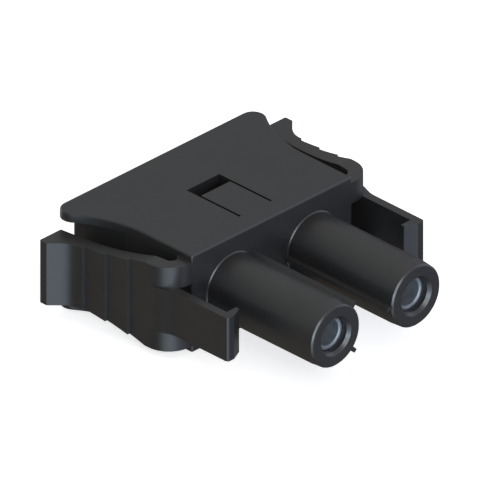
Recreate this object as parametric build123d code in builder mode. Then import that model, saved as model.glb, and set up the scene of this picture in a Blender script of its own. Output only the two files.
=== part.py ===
from build123d import *
import os

# Two-way coaxial plug with side latches, in millimetres.
# The origin is the middle of the housing's front face, on the level of the two barrels.
# X runs across the two ways, -Y is the way the barrels point and +Z is up.

# Housing body and the guard plates above and below it
half_height = 4.935
bottom_z = -5.06
front_half_width = 10.15
rear_half_width = 11.0
body_length = 14.4
body_straight = 8.5
body_corner_radius = 0.4
plate_thickness = 0.9
plate_length = 15.04
plate_straight = 6.0
plate_flare_half_width = 14.1
plate_corner_radius = 1.25
edge_radius = 0.2

# Barrels
way_offset = 5.1
barrel_length = 13.22
barrel_radius = 3.145
barrel_tip_radius = 2.91
barrel_tip_chamfer = 0.15
barrel_lead_length = 1.3
barrel_base_chamfer = 0.1
bore_radius = 1.65
mouth_radius = 1.95

# Polarising ribs, by the barrel's place and the rib's angle in the view on the front
rib_width = 0.4
rib_radius = 3.63
rib_root_radius = 2.9
rib_length = 13.15
rib_places = ((-way_offset, 45), (-way_offset, -45), (way_offset, 180))

# Cavity behind the front wall, and the seats of the contacts' collars in it
front_wall = 3.0
cavity_half_width = 8.9
cavity_half_height = 3.4
cavity_corner_radius = 0.5
collar_seat_radius = 2.35
collar_seat_y = 0.6

# Latch tongue and its window in the top wall
window_half_width = 2.07
window_front_y = 7.15
window_rear_y = 8.78
slit_width = 0.24
slit_front_y = 2.07
tongue_thickness = 0.95
hook_depth = 0.75
hook_front_y = 6.05
hook_flat = 0.3

# Side levers, in plan: distances from the middle plane and from the front face
lever_mid_x = 13.08
lever_ridge_y = 4.965
lever_ridge_pitch = 2.58
lever_ridge_step = 0.27
lever_ridge_run = 0.04
lever_ridges = 3
lever_rear_y = 13.9
lever_rear_x = 15.6
lever_flare_y = 11.3
lever_hollow_radius = 2.5
lever_flare_radius = 0.8
lever_rear_corner_radius = 0.15
lever_inner_rear_x = 12.88
lever_inner_front_x = 11.45
slot_end_y = 1.37
slot_half_width = 0.65
bulge_radius = 2.55

# Side levers, in side view: half heights about the middle plane
lever_rear_half_height = 3.2
lever_arch_start_y = 11.5
lever_arch_end_y = 3.1
loop_half_height = 4.33
loop_gap_half_height = 2.15
loop_gap_y = 3.0

# Hook arms in front of the levers
arm_half_height = 2.24
arm_outer_x = 12.5
arm_inner_x = 11.66
arm_root_y = 2.0
arm_bend_y = -0.5
arm_end_y = -6.87
arm_hook_y = -5.9
arm_hook_x = 10.45
arm_hook_lead = 0.38
arm_corner_radius = 0.3

# Contacts, from the front lip backwards
lip_y = -12.35
lip_chamfer = 0.12
shell_radius = 1.6
shell_bore_radius = 1.28
insulator_y = -9.2
insulator_seat_radius = 1.45
shell_collar_radius = 2.3
shell_collar_length = 1.6
shell_rear_radius = 1.9
shell_rear_y = 5.0
fit_gap = 0.01
pin_bore_radius = 0.5
socket_radius = 0.48
socket_bore_radius = 0.24
socket_recess = 0.1
socket_slot_width = 0.12
socket_slot_length = 2.2
pin_collar_radius = 0.8
pin_collar_length = 0.6
rear_insulator_length = 1.4
wire_barrel_radius = 0.42
wire_barrel_bore_radius = 0.26
wire_barrel_length = 3.0
wire_barrel_bore_depth = 2.4
crimp_bore_radius = 0.85
crimp_flange_length = 1.2
stem_radius = 1.2
stem_length = 3.8
ferrule_radius = 1.75
ferrule_bore_radius = 1.5
ferrule_length = 4.4

# Rear retainer
retainer_side_gap = 0.05
retainer_top_gap = 0.08
retainer_front_gap = 0.05
retainer_rear_y = 14.0
boss_radius = 2.25
contact_bore_radius = 1.95
entry_radius = 1.7
entry_mouth_radius = 2.0
entry_length = 3.0
pull_slot_half_width = 1.4
pull_slot_half_height = 2.0
pull_slot_depth = 2.2
pocket_half_width = 2.0
pocket_depth = 0.85
pocket_front_y = 5.95
pocket_rear_y = 7.35

ways = (("left", -way_offset), ("right", way_offset))


def facing_front(y):
    """The plane at y whose normal points the way the barrels do, with Z up in it."""
    return Plane.XZ.offset(-y)


def turned(x, outline):
    """A solid of revolution about the way's axis at x, from (radius, y) points."""
    with BuildPart() as blank:
        with BuildSketch(Plane((x, 0, 0))):
            with BuildLine():
                Polyline(*outline, close=True)
            make_face()
        revolve(axis=Axis((x, 0, 0), (0, 1, 0)))
    return blank.part


def ridge_points():
    """The lever's outer face between the hinge and the flare: a step outwards at each ridge."""
    points = []
    for index in range(lever_ridges):
        x = lever_mid_x + index * lever_ridge_step
        y = lever_ridge_y + index * lever_ridge_pitch
        points += [(x, y), (x + lever_ridge_step, y + lever_ridge_run)]
    return points


# One side lever with its two hinge loops and its hook arm, on the +X side
grip_x = lever_mid_x + lever_ridges * lever_ridge_step
flare_end_y = lever_flare_y + lever_rear_x - grip_x
bulge_x = lever_mid_x - bulge_radius
slot_front_x = lever_inner_front_x - 2 * slot_half_width
slot_centre_y = slot_end_y + slot_half_width
root_x = front_half_width - 0.6

with BuildPart() as latch:
    with BuildSketch(Plane.XY.offset(-half_height)):
        with BuildLine():
            front = Line((root_x, 0), (bulge_x, 0))
            bulge = JernArc(front @ 1, front % 1, bulge_radius, 90)
            outer = Polyline(
                bulge @ 1,
                *ridge_points(),
                (grip_x, lever_flare_y),
                (lever_rear_x, flare_end_y),
                (lever_rear_x, lever_rear_y),
                (lever_inner_rear_x, lever_rear_y),
                (lever_inner_front_x, slot_centre_y),
            )
            slot_end = ThreePointArc(
                outer @ 1,
                (lever_inner_front_x - slot_half_width, slot_end_y),
                (slot_front_x, slot_centre_y),
            )
            Polyline(slot_end @ 1, (root_x, slot_centre_y), front @ 0)
        plan = make_face()
        hollow = plan.vertices().sort_by_distance((grip_x, lever_flare_y, -half_height))[0]
        fillet(hollow, lever_hollow_radius)
        flare = plan.vertices().sort_by_distance((lever_rear_x, flare_end_y, -half_height))[0]
        fillet(flare, lever_flare_radius)
        fillet(vertices().group_by(Axis.Y)[-1], lever_rear_corner_radius)
    extrude(amount=2 * half_height)

    # The lever is low at the thumb grip and rises in an arch to the hinge loops
    with BuildSketch(Plane.YZ):
        with BuildLine():
            grip = Line((lever_rear_y, lever_rear_half_height), (lever_arch_start_y, lever_rear_half_height))
            arch = TangentArc(grip @ 1, (lever_arch_end_y, loop_half_height), tangent=grip % 1)
            Polyline(arch @ 1, (-1, loop_half_height), (-1, 0), (lever_rear_y, 0), grip @ 0)
        make_face()
        mirror(about=Plane.XZ)
    extrude(amount=2 * lever_rear_x, mode=Mode.INTERSECT)

    # The arm passes between the two loops
    with BuildSketch(Plane.YZ.offset(slot_front_x - 0.1)):
        with Locations((0, 0)):
            Rectangle(2 * loop_gap_y, 2 * loop_gap_half_height)
    extrude(amount=bulge_radius + 2, mode=Mode.SUBTRACT)

    inner_slope = (lever_inner_rear_x - lever_inner_front_x) / (lever_rear_y - slot_centre_y)
    arm_start_y = loop_gap_y + 0.4
    arm_start_x = lever_inner_front_x + inner_slope * (arm_start_y - slot_centre_y)
    with BuildSketch(Plane.XY.offset(-arm_half_height)):
        with BuildLine():
            side = Line((lever_mid_x, arm_start_y), (lever_mid_x, arm_root_y))
            bend = Spline(side @ 1, (arm_outer_x, arm_bend_y), tangents=((0, -1), (0, -1)))
            Polyline(
                bend @ 1,
                (arm_outer_x, arm_end_y),
                (arm_inner_x, arm_end_y),
                (arm_hook_x, arm_hook_y - arm_hook_lead),
                (arm_hook_x, arm_hook_y),
                (arm_inner_x, arm_hook_y),
                (arm_inner_x, arm_bend_y),
                (arm_start_x, arm_start_y),
                side @ 0,
            )
        arm_plan = make_face()
        nose = arm_plan.vertices().sort_by_distance((arm_outer_x, arm_end_y, -arm_half_height))[0]
        fillet(nose, arm_corner_radius)
    extrude(amount=2 * arm_half_height)


def barrel(x):
    """Plain barrel with a slight lead-in and a small chamfer at the tip."""
    return turned(
        x,
        [
            (0, 0),
            (barrel_radius, 0),
            (barrel_radius, barrel_lead_length - barrel_length),
            (barrel_tip_radius + barrel_tip_chamfer, barrel_tip_chamfer - barrel_length),
            (barrel_tip_radius, -barrel_length),
            (0, -barrel_length),
        ],
    )


barrels = [barrel(x) for _, x in ways]

with BuildPart() as housing:
    with BuildSketch(Plane.XY.offset(bottom_z)):
        with BuildLine():
            Polyline(
                (0, 0),
                (front_half_width, 0),
                (front_half_width, body_straight),
                (rear_half_width, body_length),
                (0, body_length),
                close=True,
            )
        make_face()
        mirror(about=Plane.YZ)
    extrude(amount=half_height - bottom_z)
    fillet(housing.edges().filter_by(Axis.Z).group_by(Axis.Y)[-1], body_corner_radius)

    # Guard plates, flared at the rear to cover the thumb grips
    for plate_z in (bottom_z, half_height - plate_thickness):
        with BuildSketch(Plane.XY.offset(plate_z)):
            with BuildLine():
                straight = Line((front_half_width, 0), (front_half_width, plate_straight))
                flare = TangentArc(
                    straight @ 1, (plate_flare_half_width, plate_length), tangent=straight % 1
                )
                Polyline(flare @ 1, (0, plate_length), (0, 0), straight @ 0)
            make_face()
            mirror(about=Plane.YZ)
            rear_corners = vertices().group_by(Axis.Y)[-1].sort_by(Axis.X)
            fillet([rear_corners[0], rear_corners[-1]], plate_corner_radius)
        extrude(amount=plate_thickness)
    rims = housing.edges().group_by(Axis.Z)
    front_corners = housing.edges().filter_by(Axis.Z).group_by(Axis.Y)[0]
    fillet(rims[-1] + rims[0] + front_corners, edge_radius)

    # Barrels
    add(barrels)
    circles = housing.edges().filter_by(GeomType.CIRCLE)
    roots = circles.filter_by(lambda edge: abs(edge.center().Y) < 0.01 and edge.radius > 3)
    chamfer(roots, barrel_base_chamfer)
    with BuildSketch(facing_front(0)):
        for rib_x, rib_angle in rib_places:
            with Locations((rib_x, 0)):
                with PolarLocations((rib_radius + rib_root_radius) / 2, 1, start_angle=rib_angle):
                    Rectangle(rib_radius - rib_root_radius, rib_width)
    extrude(amount=rib_length)

    # Levers
    add(latch.part)
    mirror(latch.part, about=Plane.YZ)

    # Contact bores, collar seats and the cavity behind them
    with BuildSketch(facing_front(body_length)):
        RectangleRounded(2 * cavity_half_width, 2 * cavity_half_height, cavity_corner_radius)
    extrude(amount=body_length - front_wall, mode=Mode.SUBTRACT)
    with BuildSketch(facing_front(front_wall)):
        with Locations((-way_offset, 0), (way_offset, 0)):
            Circle(collar_seat_radius)
    extrude(amount=front_wall - collar_seat_y, mode=Mode.SUBTRACT)
    with Locations(facing_front(-barrel_length)):
        with Locations((-way_offset, 0), (way_offset, 0)):
            CounterSinkHole(bore_radius, mouth_radius, barrel_length + front_wall, counter_sink_angle=90)

    # Window, and the tongue in front of it that holds the retainer
    wall = half_height - cavity_half_height
    slit_x = window_half_width - slit_width / 2
    with BuildSketch(Plane.XY.offset(half_height)):
        with Locations((0, (window_front_y + window_rear_y) / 2)):
            Rectangle(2 * window_half_width, window_rear_y - window_front_y)
        slit_y = (slit_front_y + window_front_y) / 2
        with Locations((-slit_x, slit_y), (slit_x, slit_y)):
            Rectangle(slit_width, window_front_y - slit_front_y)
    extrude(amount=-wall, mode=Mode.SUBTRACT)
    tongue_half_width = window_half_width - slit_width
    tongue_under_z = half_height - tongue_thickness
    with BuildSketch(Plane.YZ.offset(-window_half_width)):
        with BuildLine():
            Polyline(
                (slit_front_y, cavity_half_height),
                (slit_front_y, tongue_under_z),
                (hook_front_y, tongue_under_z),
                (hook_front_y, cavity_half_height),
                close=True,
            )
        make_face()
    extrude(amount=2 * window_half_width, mode=Mode.SUBTRACT)
    hook_tip_z = cavity_half_height - hook_depth
    with BuildSketch(Plane.YZ.offset(-tongue_half_width)):
        with BuildLine():
            Polyline(
                (hook_front_y, tongue_under_z + 0.1),
                (hook_front_y, hook_tip_z),
                (hook_front_y + hook_flat, hook_tip_z),
                (window_front_y, cavity_half_height),
                (window_front_y, tongue_under_z + 0.1),
                close=True,
            )
        make_face()
    extrude(amount=2 * tongue_half_width)
housing.part.label = "housing"


with BuildPart() as rear_retainer:
    retainer_front_y = front_wall + retainer_front_gap
    block_width = 2 * (cavity_half_width - retainer_side_gap)
    block_height = 2 * cavity_half_height - retainer_top_gap
    block_z = -retainer_top_gap / 2
    with BuildSketch(facing_front(retainer_rear_y)):
        with Locations((0, block_z)):
            RectangleRounded(block_width, block_height, cavity_corner_radius)
    extrude(amount=retainer_rear_y - retainer_front_y)
    collar_rear_y = collar_seat_y + shell_collar_length
    with BuildSketch(facing_front(retainer_front_y)):
        with Locations((-way_offset, 0), (way_offset, 0)):
            Circle(boss_radius)
    extrude(amount=retainer_front_y - collar_rear_y)
    with BuildSketch(facing_front(collar_rear_y)):
        with Locations((-way_offset, 0), (way_offset, 0)):
            Circle(contact_bore_radius)
    entry_chamfer = entry_mouth_radius - entry_radius
    contact_bore_end_y = retainer_rear_y - entry_length - entry_chamfer
    extrude(amount=-(contact_bore_end_y - collar_rear_y), mode=Mode.SUBTRACT)
    with Locations(-facing_front(retainer_rear_y)):
        with Locations((-way_offset, 0), (way_offset, 0)):
            CounterSinkHole(entry_radius, entry_mouth_radius, entry_length + 1, counter_sink_angle=90)

    # Pull slot between the two entries
    with BuildSketch(facing_front(retainer_rear_y)):
        with Locations((0, block_z)):
            RectangleRounded(2 * pull_slot_half_width, 2 * pull_slot_half_height, 0.4)
    extrude(amount=pull_slot_depth, mode=Mode.SUBTRACT)

    # Pocket that the tongue's hook drops into
    with BuildSketch(Plane.XY.offset(cavity_half_height)):
        with Locations((0, (pocket_front_y + pocket_rear_y) / 2)):
            Rectangle(2 * pocket_half_width, pocket_rear_y - pocket_front_y)
    extrude(amount=-pocket_depth, mode=Mode.SUBTRACT)
rear_retainer.part.label = "rear_retainer"


def outer_contact(x):
    """Turned shell with a lip at the front, a locating collar and a straight rear seat."""
    collar_end_y = collar_seat_y + shell_collar_length
    return turned(
        x,
        [
            (shell_bore_radius + lip_chamfer, lip_y),
            (shell_radius, lip_y),
            (shell_radius, collar_seat_y),
            (shell_collar_radius, collar_seat_y),
            (shell_collar_radius, collar_end_y),
            (shell_rear_radius, collar_end_y),
            (shell_rear_radius, shell_rear_y),
            (insulator_seat_radius, shell_rear_y),
            (insulator_seat_radius, insulator_y),
            (shell_bore_radius, insulator_y),
            (shell_bore_radius, lip_y + lip_chamfer),
        ],
    )


def insulator(x, start_y, end_y):
    """Plain bead that centres the inner contact in the shell."""
    return turned(
        x,
        [
            (pin_bore_radius, start_y),
            (insulator_seat_radius - fit_gap, start_y),
            (insulator_seat_radius - fit_gap, end_y),
            (pin_bore_radius, end_y),
        ],
    )


pin_collar_end_y = collar_seat_y + pin_collar_length
rear_insulator_end_y = pin_collar_end_y + rear_insulator_length


def centre_contact(x):
    """Slotted socket at the front, trapped collar, and a barrel for the wire at the rear."""
    front_y = insulator_y + socket_recess
    rear_y = rear_insulator_end_y + wire_barrel_length
    blank = turned(
        x,
        [
            (0, front_y),
            (socket_radius, front_y),
            (socket_radius, collar_seat_y),
            (pin_collar_radius, collar_seat_y),
            (pin_collar_radius, pin_collar_end_y),
            (socket_radius, pin_collar_end_y),
            (socket_radius, rear_insulator_end_y),
            (wire_barrel_radius, rear_insulator_end_y),
            (wire_barrel_radius, rear_y),
            (0, rear_y),
        ],
    )
    slot_width = 2 * socket_radius + 0.2
    with BuildPart() as contact:
        add(blank)
        with BuildSketch(facing_front(front_y)):
            with Locations((x, 0)):
                Circle(socket_bore_radius)
                Rectangle(slot_width, socket_slot_width)
                Rectangle(socket_slot_width, slot_width)
        extrude(amount=-socket_slot_length, mode=Mode.SUBTRACT)
        with BuildSketch(facing_front(rear_y)):
            with Locations((x, 0)):
                Circle(wire_barrel_bore_radius)
        extrude(amount=wire_barrel_bore_depth, mode=Mode.SUBTRACT)
    return contact.part


def crimp_body(x):
    """Turned rear body: a plug in the shell, a flange and the stem that the braid goes over."""
    flange_end_y = shell_rear_y + crimp_flange_length
    stem_end_y = flange_end_y + stem_length
    return turned(
        x,
        [
            (crimp_bore_radius, rear_insulator_end_y),
            (insulator_seat_radius - fit_gap, rear_insulator_end_y),
            (insulator_seat_radius - fit_gap, shell_rear_y),
            (shell_rear_radius, shell_rear_y),
            (shell_rear_radius, flange_end_y),
            (stem_radius, flange_end_y),
            (stem_radius, stem_end_y),
            (crimp_bore_radius, stem_end_y),
        ],
    )


def crimp_ferrule(x):
    """Thin tube that stands round the stem and sits against the flange."""
    start_y = shell_rear_y + crimp_flange_length
    return turned(
        x,
        [
            (ferrule_bore_radius, start_y),
            (ferrule_radius, start_y),
            (ferrule_radius, start_y + ferrule_length),
            (ferrule_bore_radius, start_y + ferrule_length),
        ],
    )


os.makedirs("parts", exist_ok=True)
export_step(housing.part, "parts/housing.step")
export_step(rear_retainer.part, "parts/rear_retainer.step")
for side_name, way_x in ways:
    pieces = {
        "outer_contact": outer_contact(way_x),
        "front_insulator": insulator(way_x, insulator_y, collar_seat_y),
        "centre_contact": centre_contact(way_x),
        "rear_insulator": insulator(way_x, pin_collar_end_y, rear_insulator_end_y),
        "crimp_body": crimp_body(way_x),
        "crimp_ferrule": crimp_ferrule(way_x),
    }
    for piece_name, piece in pieces.items():
        piece.label = f"{piece_name}_{side_name}"
        export_step(piece, f"parts/{piece_name}_{side_name}.step")
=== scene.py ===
import math

import bpy
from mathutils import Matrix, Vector

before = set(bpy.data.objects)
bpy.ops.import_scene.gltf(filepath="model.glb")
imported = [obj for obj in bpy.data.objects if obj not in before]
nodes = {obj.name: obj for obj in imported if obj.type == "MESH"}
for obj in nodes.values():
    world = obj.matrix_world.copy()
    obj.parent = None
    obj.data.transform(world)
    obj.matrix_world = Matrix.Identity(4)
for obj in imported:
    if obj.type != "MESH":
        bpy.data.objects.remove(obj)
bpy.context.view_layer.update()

MM = 0.001

WHITE = (1, 1, 1, 1)

# Camera: the photo's parallel view, from 45 degrees to the left and 30 degrees above
VIEW_AZIMUTH = -45
VIEW_ELEVATION = 30
VIEW_CENTRE = Vector((0.981, 5.040, 0.058)) * MM
VIEW_WIDTH = 43.05 * MM
CAMERA_DISTANCE = 140 * MM
CAMERA_NEAR = 1 * MM
CAMERA_FAR = 10

# Floor: a large pale disc just below the object
FLOOR_Z = -5.065 * MM
FLOOR_RADIUS = 1.2
FLOOR_CORNERS = 96
FLOOR_COLOUR = (0.80, 0.80, 0.80, 1)
FLOOR_GLOW = 0.68  # added for the camera alone, so that the floor is white outside the shadow

# Noise scales, which are the number of features to the metre
MOULD_CLOUDS = 260.0
MOULD_GRAIN = 9000.0
GLOSS_PATCHES = 900.0
PLATING_CLOUDS = 1500.0
PLATING_RINGS = 9000.0
BEAD_CLOUDS = 1200.0
BEAD_RINGS = 7000.0

# The turned pieces lie along Y, so noise that is drawn out across Y makes tool rings on them
RING_STRETCH = (0.02, 1.0, 0.02)

RELIEF_HEIGHT = 0.004 * MM
GRAIN_STRENGTH = 0.5
RING_STRENGTH = 0.4

# The part of a noise's range over which a colour goes from dark to light
TONE_START = 0.3
TONE_END = 0.7

PLASTIC_GLOSS_CHANGE = 0.04
METAL_GLOSS_CHANGE = 0.05

PLASTIC_IOR = 1.5
FLUOROPOLYMER_IOR = 1.38
BEAD_ROUGHNESS = 0.5
BEAD_EDGE_RADIUS = 0.04 * MM
BEAD_MILKINESS = 0.15
BEAD_LIGHT_REACH = (0.4 * MM, 0.35 * MM, 0.3 * MM)

# Studio: a sky that brightens from the horizon upwards, and a dim light that is equal all round
SKY = (0.530, 0.580, 0.610)
AMBIENT = (0.104, 0.092, 0.080)

# Round soft windows in that sky: azimuth, elevation and half angle in degrees, strength, colour.
# A negative strength makes a darker patch of the sky
WINDOWS = (
    (-45, -22, 38, 1.65, (0.72, 0.88, 1.0)),
    (-37, 1, 18, 7.8, (0.76, 0.91, 1.0)),
    (-29, 28, 16, 6.8, (0.92, 0.97, 1.0)),
    (-140, -30, 55, 0.085, (1.0, 0.84, 0.62)),
    (0, 0, 52, 0.92, (0.66, 0.74, 1.0)),
    (80, 10, 50, 0.90, (0.68, 0.76, 1.0)),
    (180, 0, 42, 1.20, (0.95, 0.97, 1.0)),
    (-165, 45, 42, -0.11, (0.9, 1.0, 1.1)),
)

# Square lamp above the object
SOFTBOX_AZIMUTH = 30
SOFTBOX_ELEVATION = 78
SOFTBOX_DISTANCE = 0.35
SOFTBOX_SIDE = 0.35
SOFTBOX_RADIANCE = 0.36
SOFTBOX_COLOUR = (1.0, 0.60, 0.32)


def direction(azimuth, elevation):
    """Unit vector from the object towards a viewer at these angles, in degrees."""
    a, e = math.radians(azimuth), math.radians(elevation)
    return Vector((math.sin(a) * math.cos(e), -math.cos(a) * math.cos(e), math.sin(e)))


def srgb(red, green, blue):
    """Linear colour from 0 to 255 display values."""
    values = []
    for value in (red, green, blue):
        c = value / 255
        values.append(c / 12.92 if c <= 0.04045 else ((c + 0.055) / 1.055) ** 2.4)
    return (*values, 1.0)


class Graph:
    """The node tree of a material or a world, and short calls that add and join its nodes."""

    def __init__(self, owner, output_kind):
        owner.use_nodes = True
        self.tree = owner.node_tree
        self.tree.nodes.clear()
        self.output = self.add(output_kind)

    def add(self, kind, **values):
        node = self.tree.nodes.new(kind)
        for name, value in values.items():
            setattr(node, name, value)
        return node

    def link(self, source, target):
        self.tree.links.new(source, target)

    def principled(self, fixed, linked):
        """The surface's shader, with its sockets' fixed values and linked sources by name."""
        shader = self.add("ShaderNodeBsdfPrincipled")
        for name, value in fixed.items():
            shader.inputs[name].default_value = value
        for name, source in linked.items():
            self.link(source, shader.inputs[name])
        self.link(shader.outputs["BSDF"], self.output.inputs["Surface"])

    def position(self, stretch=(1, 1, 1)):
        """Object coordinates in metres, times stretch."""
        coordinates = self.add("ShaderNodeTexCoord")
        mapping = self.add("ShaderNodeMapping")
        mapping.inputs["Scale"].default_value = stretch
        self.link(coordinates.outputs["Object"], mapping.inputs["Vector"])
        return mapping.outputs["Vector"]

    def noise(self, vector, scale, detail, roughness):
        noise = self.add("ShaderNodeTexNoise")
        noise.inputs["Scale"].default_value = scale
        noise.inputs["Detail"].default_value = detail
        noise.inputs["Roughness"].default_value = roughness
        self.link(vector, noise.inputs["Vector"])
        return noise.outputs["Fac"]

    def tone(self, value, dark, light):
        """Colour from dark to light as value rises."""
        ramp = self.add("ShaderNodeValToRGB")
        start, end = ramp.color_ramp.elements
        start.position, start.color = TONE_START, dark
        end.position, end.color = TONE_END, light
        self.link(value, ramp.inputs["Fac"])
        return ramp.outputs["Color"]

    def around(self, value, middle, change):
        """value from 0 to 1, mapped to middle less change up to middle plus change."""
        span = self.add("ShaderNodeMapRange")
        span.inputs["To Min"].default_value = middle - change
        span.inputs["To Max"].default_value = middle + change
        self.link(value, span.inputs["Value"])
        return span.outputs["Result"]

    def relief(self, height, strength, edge_radius):
        """Normal of a surface with fine relief and edges rounded to edge_radius."""
        bevel = self.add("ShaderNodeBevel", samples=8)
        bevel.inputs["Radius"].default_value = edge_radius
        bump = self.add("ShaderNodeBump")
        bump.inputs["Strength"].default_value = strength
        bump.inputs["Distance"].default_value = RELIEF_HEIGHT
        self.link(height, bump.inputs["Height"])
        self.link(bevel.outputs["Normal"], bump.inputs["Normal"])
        return bump.outputs["Normal"]


def new_material(name):
    material = bpy.data.materials.new(name)
    return material, Graph(material, "ShaderNodeOutputMaterial")


def moulded_plastic(name, dark, light, roughness, specular, edge_radius):
    """Moulded plastic: slow cloudy tone, fine grain of the mould, rounded edges."""
    material, graph = new_material(name)
    place = graph.position()
    clouds = graph.noise(place, MOULD_CLOUDS, detail=3.0, roughness=0.55)
    grain = graph.noise(place, MOULD_GRAIN, detail=3.0, roughness=0.6)
    patches = graph.noise(place, GLOSS_PATCHES, detail=2.0, roughness=0.5)
    graph.principled(
        {"Metallic": 0.0, "IOR": PLASTIC_IOR, "Specular IOR Level": specular},
        {
            "Base Color": graph.tone(clouds, dark, light),
            "Roughness": graph.around(patches, roughness, PLASTIC_GLOSS_CHANGE),
            "Normal": graph.relief(grain, GRAIN_STRENGTH, edge_radius),
        },
    )
    return material


def plated_metal(name, dark, light, roughness, edge_radius):
    """Turned and plated metal: fine tool rings and slightly uneven gloss."""
    material, graph = new_material(name)
    rings = graph.noise(graph.position(RING_STRETCH), PLATING_RINGS, detail=2.0, roughness=0.5)
    clouds = graph.noise(graph.position(), PLATING_CLOUDS, detail=3.0, roughness=0.5)
    graph.principled(
        {"Metallic": 1.0},
        {
            "Base Color": graph.tone(clouds, dark, light),
            "Roughness": graph.around(clouds, roughness, METAL_GLOSS_CHANGE),
            "Normal": graph.relief(rings, RING_STRENGTH, edge_radius),
        },
    )
    return material


def bead_plastic(name, dark, light):
    """Milky fluoropolymer bead with faint turning marks."""
    material, graph = new_material(name)
    clouds = graph.noise(graph.position(), BEAD_CLOUDS, detail=3.0, roughness=0.5)
    rings = graph.noise(graph.position(RING_STRETCH), BEAD_RINGS, detail=2.0, roughness=0.5)
    graph.principled(
        {
            "Roughness": BEAD_ROUGHNESS,
            "IOR": FLUOROPOLYMER_IOR,
            "Subsurface Weight": BEAD_MILKINESS,
            "Subsurface Radius": BEAD_LIGHT_REACH,
        },
        {
            "Base Color": graph.tone(clouds, dark, light),
            "Normal": graph.relief(rings, RING_STRENGTH, BEAD_EDGE_RADIUS),
        },
    )
    return material


housing_plastic = moulded_plastic(
    "housing_plastic",
    dark=srgb(37, 37, 38),
    light=srgb(41, 41, 42),
    roughness=0.35,
    specular=0.75,
    edge_radius=0.02 * MM,
)
retainer_plastic = moulded_plastic(
    "retainer_plastic",
    dark=srgb(30, 30, 31),
    light=srgb(34, 34, 35),
    roughness=0.44,
    specular=0.6,
    edge_radius=0.10 * MM,
)
nickel_plate = plated_metal(
    "nickel_plate",
    dark=srgb(152, 157, 163),
    light=srgb(168, 173, 179),
    roughness=0.66,
    edge_radius=0.04 * MM,
)
ferrule_plate = plated_metal(
    "ferrule_plate",
    dark=srgb(160, 160, 158),
    light=srgb(188, 188, 186),
    roughness=0.36,
    edge_radius=0.06 * MM,
)
gold_plate = plated_metal(
    "gold_plate",
    dark=srgb(205, 158, 84),
    light=srgb(224, 180, 104),
    roughness=0.26,
    edge_radius=0.05 * MM,
)
insulator_white = bead_plastic(
    "insulator_white",
    dark=srgb(214, 213, 208),
    light=srgb(230, 229, 225),
)

FINISHES = {
    "housing": housing_plastic,
    "rear_retainer": retainer_plastic,
    "outer_contact": nickel_plate,
    "front_insulator": insulator_white,
    "rear_insulator": insulator_white,
    "centre_contact": gold_plate,
    "crimp_body": nickel_plate,
    "crimp_ferrule": ferrule_plate,
}
for node_name, node in nodes.items():
    piece = node_name.removesuffix("_left").removesuffix("_right")
    node.data.materials.clear()
    node.data.materials.append(FINISHES[piece])


def floor_material():
    """White to the camera outside the shadow, and clear to gloss.

    Gloss on the object's sides sees the dim studio below the horizon through the floor.
    """
    material, graph = new_material("floor_pale")
    diffuse = graph.add("ShaderNodeBsdfDiffuse")
    diffuse.inputs["Color"].default_value = FLOOR_COLOUR
    path = graph.add("ShaderNodeLightPath")
    share = graph.add("ShaderNodeMath", operation="MULTIPLY")
    share.inputs[1].default_value = FLOOR_GLOW
    graph.link(path.outputs["Is Camera Ray"], share.inputs[0])
    glow = graph.add("ShaderNodeEmission")
    glow.inputs["Color"].default_value = WHITE
    graph.link(share.outputs["Value"], glow.inputs["Strength"])
    both = graph.add("ShaderNodeAddShader")
    graph.link(diffuse.outputs["BSDF"], both.inputs[0])
    graph.link(glow.outputs["Emission"], both.inputs[1])
    clear = graph.add("ShaderNodeBsdfTransparent")
    choice = graph.add("ShaderNodeMixShader")
    graph.link(path.outputs["Is Glossy Ray"], choice.inputs["Fac"])
    graph.link(both.outputs["Shader"], choice.inputs[1])
    graph.link(clear.outputs["BSDF"], choice.inputs[2])
    graph.link(choice.outputs["Shader"], graph.output.inputs["Surface"])
    return material


bpy.ops.mesh.primitive_circle_add(
    vertices=FLOOR_CORNERS, radius=FLOOR_RADIUS, fill_type="NGON", location=(0, 0, FLOOR_Z)
)
floor = bpy.context.object
floor.name = "studio_floor"
floor.data.materials.append(floor_material())


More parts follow.
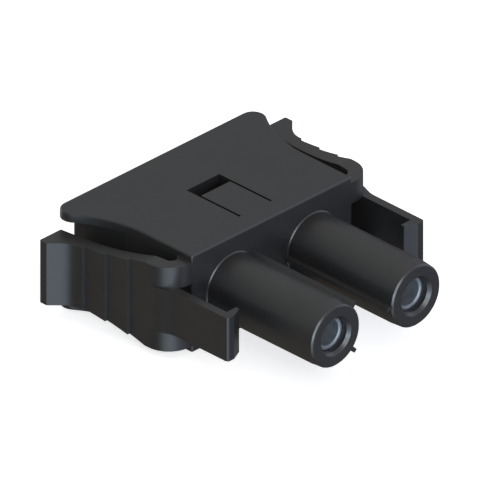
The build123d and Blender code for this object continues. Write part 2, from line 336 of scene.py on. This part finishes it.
def studio_world():
    """White to the camera; everything else is lit by the dim sky and its windows."""
    world = bpy.data.worlds.new("studio")
    graph = Graph(world, "ShaderNodeOutputWorld")
    ray = graph.add("ShaderNodeTexCoord").outputs["Generated"]

    def facing(centre):
        """Cosine of the angle between the ray and centre."""
        dot = graph.add("ShaderNodeVectorMath", operation="DOT_PRODUCT")
        dot.inputs[1].default_value = centre
        graph.link(ray, dot.inputs[0])
        return dot.outputs["Value"]

    def tinted(amount, colour):
        """colour times amount, in a node to whose last input a colour can be added."""
        node = graph.add("ShaderNodeVectorMath", operation="MULTIPLY_ADD")
        graph.link(amount, node.inputs[0])
        node.inputs[1].default_value = colour
        return node

    upward = graph.add("ShaderNodeMath", operation="MAXIMUM")
    upward.inputs[1].default_value = 0
    graph.link(facing((0, 0, 1)), upward.inputs[0])
    total = tinted(upward.outputs["Value"], SKY)
    total.inputs[2].default_value = AMBIENT
    for azimuth, elevation, half_angle, strength, colour in WINDOWS:
        edge = graph.add("ShaderNodeMapRange", interpolation_type="SMOOTHSTEP")
        edge.inputs["From Min"].default_value = math.cos(math.radians(half_angle))
        edge.inputs["To Max"].default_value = strength
        graph.link(facing(direction(azimuth, elevation)), edge.inputs["Value"])
        window = tinted(edge.outputs["Result"], colour)
        graph.link(total.outputs["Vector"], window.inputs[2])
        total = window

    studio = graph.add("ShaderNodeBackground")
    graph.link(total.outputs["Vector"], studio.inputs["Color"])
    backdrop = graph.add("ShaderNodeBackground")
    backdrop.inputs["Color"].default_value = WHITE
    path = graph.add("ShaderNodeLightPath")
    choice = graph.add("ShaderNodeMixShader")
    graph.link(path.outputs["Is Camera Ray"], choice.inputs["Fac"])
    graph.link(studio.outputs["Background"], choice.inputs[1])
    graph.link(backdrop.outputs["Background"], choice.inputs[2])
    graph.link(choice.outputs["Shader"], graph.output.inputs["Surface"])
    return world


bpy.context.scene.world = studio_world()


def place_facing_object(thing, azimuth, elevation, distance):
    """Put a lamp or camera at these angles, turned towards the middle of the view."""
    back = direction(azimuth, elevation)
    thing.location = VIEW_CENTRE + back * distance
    thing.rotation_mode = "QUATERNION"
    thing.rotation_quaternion = back.to_track_quat("Z", "Y")
    bpy.context.scene.collection.objects.link(thing)


lamp_data = bpy.data.lights.new("overhead_softbox", "AREA")
lamp_data.shape = "RECTANGLE"
lamp_data.size = SOFTBOX_SIDE
lamp_data.size_y = SOFTBOX_SIDE
lamp_data.energy = SOFTBOX_RADIANCE * math.pi * SOFTBOX_SIDE ** 2
lamp_data.color = SOFTBOX_COLOUR
lamp = bpy.data.objects.new("overhead_softbox", lamp_data)
place_facing_object(lamp, SOFTBOX_AZIMUTH, SOFTBOX_ELEVATION, SOFTBOX_DISTANCE)

camera_data = bpy.data.cameras.new("camera")
camera_data.type = "ORTHO"
camera_data.ortho_scale = VIEW_WIDTH
camera_data.clip_start = CAMERA_NEAR
camera_data.clip_end = CAMERA_FAR
camera = bpy.data.objects.new("camera", camera_data)
place_facing_object(camera, VIEW_AZIMUTH, VIEW_ELEVATION, CAMERA_DISTANCE)
bpy.context.scene.camera = camera

bpy.context.scene.view_settings.view_transform = "Standard"
